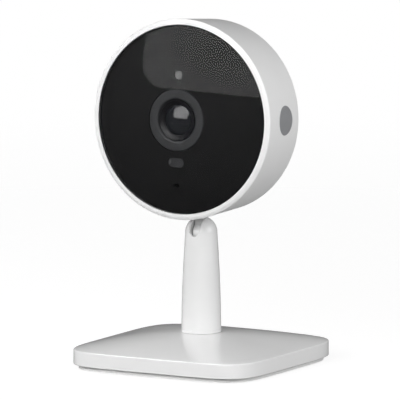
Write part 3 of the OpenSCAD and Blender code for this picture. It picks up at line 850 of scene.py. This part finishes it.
even.factor, even.iterations = 0.5, 4
soften = stem.modifiers.new("soften", "SMOOTH")
soften.factor, soften.iterations, soften.vertex_group = 0.5, 24, "lips"
baked(stem)
stem.data.shade_smooth()
finished(stem, "stem", "housing_gloss", "stem_tube")
# The stem wears the darker copy of the gloss: painted shade
stem.data.materials[0] = shaded_stem_gloss

# %% [markdown]
# ## The collar
# A thin collar sits at the stem's foot and turns with it. On the real post it shows only as two
# fine lines, so it is drawn flush, its edges are barely broken, and it closes the gap above it.

# %% Collar
low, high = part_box("stem_collar")
COLLAR_ROUND = 0.03 * MM
COLLAR_TOP = high.z + 0.12 * MM
inner = BORE_RADIUS + 0.02 * MM
collar_profile = rounded(
    [(inner, low.z), (high.x, low.z), (high.x, COLLAR_TOP), (inner, COLLAR_TOP)],
    [0, COLLAR_ROUND, COLLAR_ROUND, 0],
)
collar = mesh_object("stem_collar_ring", *turned(collar_profile, upright, 144))
collar.data.set_sharp_from_angle(angle=math.radians(40))
finished(collar, "stem", "housing_gloss", "stem_collar")
# The collar wears the same darker copy of the gloss: painted shade
collar.data.materials[0] = shaded_stem_gloss

# %% [markdown]
# ## The head's shell
# The shell is a shallow drum: a narrow sloping rim around the window, a side wall that narrows
# towards the back, and a ledge inside for the window. All of that is one turned profile. The hole
# for the neck is cut through the wall afterwards, and the wall keeps its true round shading.

# %% Head shell
WINDOW_GAP = 0.1 * MM
GLASS_RADIUS = half_span("front_window", SIDE) + WINDOW_GAP
HEAD_RADIUS = half_span("head_shell", SIDE)
SHELL_DEPTH = back_edge - front_edge
BACK_RADIUS = HEAD_RADIUS - 1.4 * MM
INNER_RADIUS = BACK_RADIUS - 1.8 * MM
RIM_BACK = 0.7 * MM
LEDGE_AT = span("window_tape", INTO)[1] - front_edge + 0.02 * MM
LEDGE_THICK = 1.5 * MM
LEDGE_RADIUS = GLASS_RADIUS - 2.9 * MM


def wall_radius(depth):
    """Radius of the outside of the side wall at a depth behind the window's edge."""
    return HEAD_RADIUS - (HEAD_RADIUS - BACK_RADIUS) * (depth - RIM_BACK) / (SHELL_DEPTH - RIM_BACK)


shell_profile = rounded(
    [
        (GLASS_RADIUS, 0),
        (GLASS_RADIUS + 0.55 * (HEAD_RADIUS - GLASS_RADIUS), 0.16 * MM),
        (HEAD_RADIUS, RIM_BACK),
        (BACK_RADIUS, SHELL_DEPTH),
        (INNER_RADIUS, SHELL_DEPTH),
        (INNER_RADIUS, LEDGE_AT + LEDGE_THICK),
        (LEDGE_RADIUS, LEDGE_AT + LEDGE_THICK),
        (LEDGE_RADIUS, LEDGE_AT),
        (GLASS_RADIUS, LEDGE_AT),
    ],
    [0.12 * MM, 0.9 * MM, 0.32 * MM, 1.1 * MM, 0.2 * MM, 0.3 * MM, 0.2 * MM, 0.2 * MM, 0],
    7,
)
shell = mesh_object("head_shell_moulding", *turned(shell_profile, head_point, 224))
pivot_depth = PIVOT.dot(INTO) - front_edge
NECK_HALF_DEEP, NECK_HALF_WIDE = 1.9 * MM, 1.5 * MM
neck_outline = rounded(
    [
        (-NECK_HALF_WIDE, pivot_depth - NECK_HALF_DEEP),
        (NECK_HALF_WIDE, pivot_depth - NECK_HALF_DEEP),
        (NECK_HALF_WIDE, pivot_depth + NECK_HALF_DEEP),
        (-NECK_HALF_WIDE, pivot_depth + NECK_HALF_DEEP),
    ],
    [0.3 * MM] * 4,
)
neck_hole = prism(
    neck_outline, -HEAD_RADIUS - MM, -INNER_RADIUS + MM, lambda x, d, y: head_point(x, y, d)
)
cut(shell, [neck_hole])
finished(shell, "head", "housing_satin", "head_shell")

# %% [markdown]
# ## The window
# The window is a shallow dome of tinted acrylic with a polished face and a pin-prick hole for the
# microphone. Its mirror image of the softbox shows any dent, so the dome is turned with fine
# steps and its exact round shading is kept after the hole is drilled.

# %% Window
WINDOW_RADIUS = GLASS_RADIUS - WINDOW_GAP
WINDOW_STEPS = 56
WINDOW_CHAMFER = 0.1 * MM
BULGE = front_edge - span("front_window", INTO)[0]
DOME_RADIUS = (WINDOW_RADIUS**2 + BULGE**2) / (2 * BULGE)
WINDOW_THICK = 1.0 * MM
MIC_RADIUS = 0.65 * MM
mic_z = head_place("microphone")[2]


def dome_depth(r, sink=0.0):
    """Depth of the window's dome, or of a surface sunk behind it, at a radius."""
    return DOME_RADIUS - BULGE - math.sqrt((DOME_RADIUS - sink) ** 2 - r**2)


radii = [WINDOW_RADIUS * k / WINDOW_STEPS for k in range(WINDOW_STEPS + 1)]
outer = [(r, dome_depth(r)) for r in radii]
inner = [(r, dome_depth(r, WINDOW_THICK)) for r in reversed(radii)]
outer[0], inner[-1] = (AXIS, outer[0][1]), (AXIS, inner[-1][1])
chamfer_at = WINDOW_RADIUS - WINDOW_CHAMFER
outer[-1:] = [(chamfer_at, dome_depth(chamfer_at)), (WINDOW_RADIUS, WINDOW_CHAMFER)]
window = mesh_object("window_dome", *turned(outer + inner, head_point, 192, loop=False))
window.data.set_sharp_from_angle(angle=math.radians(35))
mic_hole = prism(circle(0, mic_z, MIC_RADIUS, 40), -BULGE - MM, 4 * MM, head_point)
cut(window, [mic_hole])
finished(window, "head", "tinted_window", "front_window")

# %% [markdown]
# ## Printed border and mask
# Real camera windows carry a printed black border on the back that hides the glue. Without it the
# tape and the ledge would show as a ring through the tint. The mask behind is a thin dished plate
# with openings for the lens, the night light, the oval sensor and the microphone. Both follow the
# window's own curve, so no step can be seen between them.

# %% Border and mask
MASK_RADIUS = half_span("front_mask", SIDE)
MASK_SINK = WINDOW_THICK + 0.1 * MM
MASK_THICK = 1.2 * MM
PRINT_FRONT, PRINT_BACK = WINDOW_THICK + 0.004 * MM, WINDOW_THICK + 0.025 * MM
RING_RADIUS = half_span("lens_ring", SIDE)
LIGHT_RADIUS = half_span("night_light", SIDE)
OVAL_WIDE = 2 * half_span("sensor_window", SIDE)
OVAL_HIGH = 2 * half_span("sensor_window", UP)
light_z = head_place("night_light")[2]
oval_z = head_place("sensor_window")[2]


def dished(inside, outside, front, back, steps):
    """A closed profile of a plate that follows the dome between two sink depths."""
    radii = [inside + (outside - inside) * k / steps for k in range(steps + 1)]
    face = [(r, dome_depth(r, front)) for r in radii]
    return face + [(r, dome_depth(r, back)) for r in reversed(radii)]


border_profile = dished(
    MASK_RADIUS - 0.4 * MM, GLASS_RADIUS - 0.15 * MM, PRINT_FRONT, PRINT_BACK, 8
)
border = mesh_object("window_print", *turned(border_profile, head_point, 160))
border.data.set_sharp_from_angle(angle=math.radians(40))
finished(border, "head", "mask_plastic")

mask_profile = dished(RING_RADIUS + 0.1 * MM, MASK_RADIUS, MASK_SINK, MASK_SINK + MASK_THICK, 40)
mask = mesh_object("dished_mask", *turned(mask_profile, head_point, 192))


def oval(wide, high, z, steps=24):
    """An outline with straight sides and round ends."""
    r, points = high / 2, []
    for end, start in ((1, -0.5), (-1, 0.5)):
        for k in range(steps + 1):
            a = math.pi * (start + k / steps)
            points.append((end * (wide / 2 - r) + r * math.cos(a), z + r * math.sin(a)))
    return points


openings = [
    prism(circle(0, light_z, LIGHT_RADIUS + 0.03 * MM), -BULGE, 5 * MM, head_point),
    prism(oval(OVAL_WIDE + 0.1 * MM, OVAL_HIGH + 0.1 * MM, oval_z), -BULGE, 5 * MM, head_point),
    prism(circle(0, mic_z, MIC_RADIUS + 1.1 * MM), -BULGE, 5 * MM, head_point),
]
cut(mask, openings)
finished(mask, "head", "mask_plastic", "front_mask")


def about_hole(x, d, z):
    """Polar rings about the microphone's hole that follow the window's back."""
    return head_point(x, dome_depth(math.hypot(x, z + mic_z), d), z + mic_z)


# Corners as radius and as how far behind the window's back, in millimetres
dot_corners = ((0.66, 0.004), (2.1, 0.004), (2.1, 0.02), (0.66, 0.02))
dot_profile = [(r * MM, WINDOW_THICK + s * MM) for r, s in dot_corners]
dot = mesh_object("microphone_print", *turned(dot_profile, about_hole, 64))
dot.data.set_sharp_from_angle(angle=math.radians(40))
finished(dot, "head", "mask_plastic")
# The sleeve's corners run behind the window's face, so it stays inside the hole
sleeve_corners = (
    *((0.645, 0.04), (0.645, 0.98), (0.15, 0.98)),
    *((0.15, 0.9), (0.57, 0.9), (0.57, 0.04)),
)
sleeve_profile = [(r * MM, s * MM) for r, s in sleeve_corners]
sleeve = mesh_object("microphone_sleeve", *turned(sleeve_profile, about_hole, 64))
sleeve.data.set_sharp_from_angle(angle=math.radians(40))
finished(sleeve, "head", "mask_plastic")

# %% [markdown]
# ## Lens ring, barrel and front lens
# Behind the window a dark grey ring leads in to the lens. The barrel's face is turned in fine
# steps, which on the real part trap stray light, and the front lens is a deep polished bulge whose
# coating gives the strong highlight. All three are turned about the lens axis.

# %% Lens ring, barrel and front lens
ring_low, ring_high = (d - front_edge for d in span("lens_ring", INTO))
BARREL_RADIUS = half_span("lens_barrel", SIDE)
BOWL_RADIUS = 6.8 * MM
LENS_RADIUS = half_span("front_lens", SIDE)
LENS_CURVE, LENS_STEPS = 7.4 * MM, 40
barrel_low, barrel_high = (d - front_edge for d in span("lens_barrel", INTO))
ring_profile = rounded(
    [
        (RING_RADIUS - 0.02 * MM, ring_low + 0.2 * MM),
        (RING_RADIUS - 0.02 * MM, ring_low + 3.2 * MM),
        (BOWL_RADIUS, ring_high),
        (BARREL_RADIUS + 0.15 * MM, ring_high),
        (BARREL_RADIUS + 0.15 * MM, ring_low + 0.55 * MM),
        (BOWL_RADIUS - 0.05 * MM, ring_low + 0.12 * MM),
        (BOWL_RADIUS + 0.3 * MM, ring_low),
        (RING_RADIUS - 0.2 * MM, ring_low),
    ],
    [0.08 * MM, 0, 0, 0, 0.1 * MM, 0.1 * MM, 0.1 * MM, 0.1 * MM],
    4,
)
ring = mesh_object("lens_ring_front", *turned(ring_profile, head_point, 128))
ring.data.set_sharp_from_angle(angle=math.radians(40))
finished(ring, "head", "ring_plastic", "lens_ring")

face = [(BARREL_RADIUS, barrel_high), (BARREL_RADIUS, barrel_low + 0.1 * MM)]
STEPS, STEP_WIDE, STEP_DEEP = 3, 0.44 * MM, 0.26 * MM
for k in range(STEPS):
    r = BARREL_RADIUS - 0.08 * MM - STEP_WIDE * k
    d = barrel_low + (STEP_DEEP - 0.06 * MM) * k
    face += [(r, d), (r - STEP_WIDE + 0.04 * MM, d + STEP_DEEP)]
face += [
    (LENS_RADIUS + 0.02 * MM, barrel_low + STEP_DEEP * STEPS),
    (LENS_RADIUS + 0.02 * MM, barrel_low + 2.8 * MM),
    (LENS_RADIUS - 1.2 * MM, barrel_low + 3.4 * MM),
    (LENS_RADIUS - 1.2 * MM, barrel_high),
]
barrel = mesh_object("lens_barrel_steps", *turned(face, head_point, 128))
barrel.data.set_sharp_from_angle(angle=math.radians(30))
finished(barrel, "head", "barrel_black", "lens_barrel")

lens_front, lens_back = (d - front_edge for d in span("front_lens", INTO))


def lens_depth(r):
    """Depth of the front lens's round face at a radius."""
    return lens_front + LENS_CURVE - math.sqrt(LENS_CURVE**2 - r**2)


radii = [LENS_RADIUS * k / LENS_STEPS for k in range(LENS_STEPS + 1)]
lens_profile = [(r, lens_depth(r)) for r in radii]
lens_profile[0] = (AXIS, lens_front)
lens_profile += [(LENS_RADIUS, lens_back), (AXIS, lens_back)]
lens = mesh_object("front_lens_glass", *turned(lens_profile, head_point, 128, loop=False))
lens.data.set_sharp_from_angle(angle=math.radians(40))
finished(lens, "head", "optical_glass", "front_lens")
print("front lens rises", round((lens_depth(LENS_RADIUS) - lens_front) / MM, 2), "mm")

# %% [markdown]
# ## The badge
# A plain grey disc is set in the side wall. It follows the wall's curve and stands out by about a
# tenth of a millimetre with a rolled edge. It is laid out in polar rings on the wall itself.

# %% Badge
_, badge_depth, badge_up = head_place("badge")
BADGE_RADIUS = half_span("badge", UP)
BADGE_PROUD = 0.12 * MM
BADGE_POINTS = 96
# Each ring's share of the radius, and of how far the disc stands out; the last one is sunk
flat_rings = [(share, 1) for share in (0.001, 0.3, 0.6, 0.85, 0.95)]
rings = []
for share, rise in flat_rings + [(0.985, 0.75), (1.0, 0.25), (1.0, -2)]:
    ring_points = []
    for i in range(BADGE_POINTS):
        a = 2 * math.pi * i / BADGE_POINTS
        d = badge_depth + BADGE_RADIUS * share * math.cos(a)
        z = badge_up + BADGE_RADIUS * share * math.sin(a)
        out = wall_radius(d) + BADGE_PROUD * rise
        ring_points.append(head_point(math.sqrt(out**2 - z**2), d, z))
    rings.append(ring_points)
rings.append([sum(rings[-1], Vector()) / BADGE_POINTS] * BADGE_POINTS)
badge = mesh_object("badge_disc", *skin(rings))
finished(badge, "head", "badge_grey", "badge")

# %% [markdown]
# ## Softened edges on the smaller parts
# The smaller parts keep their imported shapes. A fine bevel on their hard edges gives each one the
# bright line that a real moulded or turned edge has.

# %% Edge softening
for name, width in (("neck_tongue", 0.3), ("base_plate", 0.12), ("reset_button", 0.15)):
    edge = frame["nodes"][name].modifiers.new("soft_edges", "BEVEL")
    edge.width, edge.segments = width * MM, 3
    edge.limit_method, edge.angle_limit = "ANGLE", math.radians(40)
    edge.harden_normals = True
    print(name, "edges softened by", width, "mm")

# %% Import json
import json
